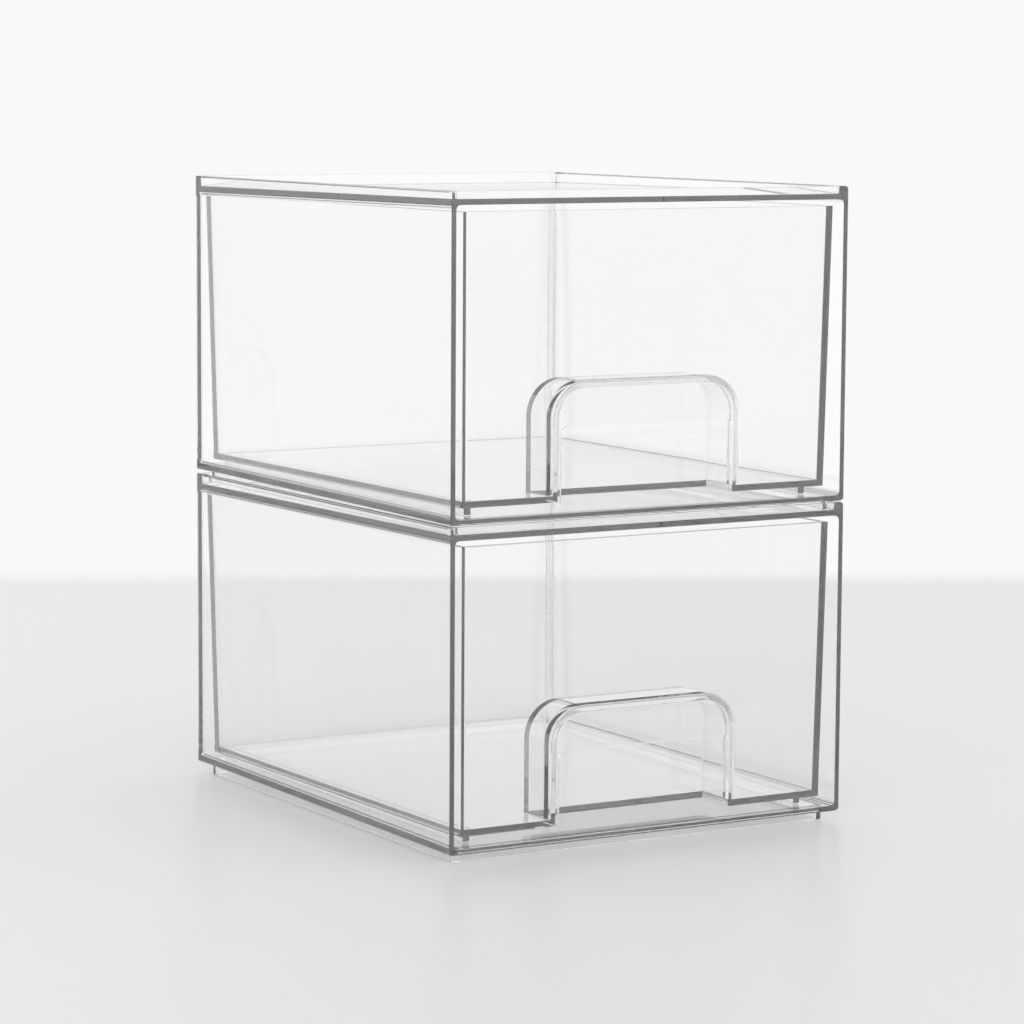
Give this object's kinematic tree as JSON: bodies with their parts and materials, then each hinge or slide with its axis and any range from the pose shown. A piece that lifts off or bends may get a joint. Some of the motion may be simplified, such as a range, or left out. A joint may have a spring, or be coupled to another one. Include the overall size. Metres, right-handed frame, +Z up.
{
  "type": "stackable drawer box",
  "caption": "Clear plastic drawer boxes stacked on each other; in each, an open-fronted case holds a sliding drawer with an arched finger pull.",
  "frame": {"origin": "on the table, under the middle of the lower case's footprint", "axes": "+Z up, the way the boxes stack; the drawers face -Y and slide out along -Y; +X is to the right seen from the front"},
  "size_m": [0.157, 0.189, 0.2208],
  "materials": {
    "case_plastic": "clear, gloss",
    "drawer_plastic": "clear, gloss"
  },
  "bodies": {
    "lower_box": {"lower_case": "case_plastic"},
    "lower_tray": {"lower_drawer": "drawer_plastic"},
    "upper_box": {"upper_case": "case_plastic"},
    "upper_tray": {"upper_drawer": "drawer_plastic"}
  },
  "joints": [
    {"name": "lower_drawer_slide", "type": "slide", "parent": "lower_box", "child": "lower_tray", "axis": [0, -1, 0], "range_m": [0, 0.16]},
    {"name": "stack_lift", "type": "slide", "parent": "lower_box", "child": "upper_box", "axis": [0, 0, 1], "range_m": [0, 0.06]},
    {"name": "upper_drawer_slide", "type": "slide", "parent": "upper_box", "child": "upper_tray", "axis": [0, -1, 0], "range_m": [0, 0.16]}
  ]
}
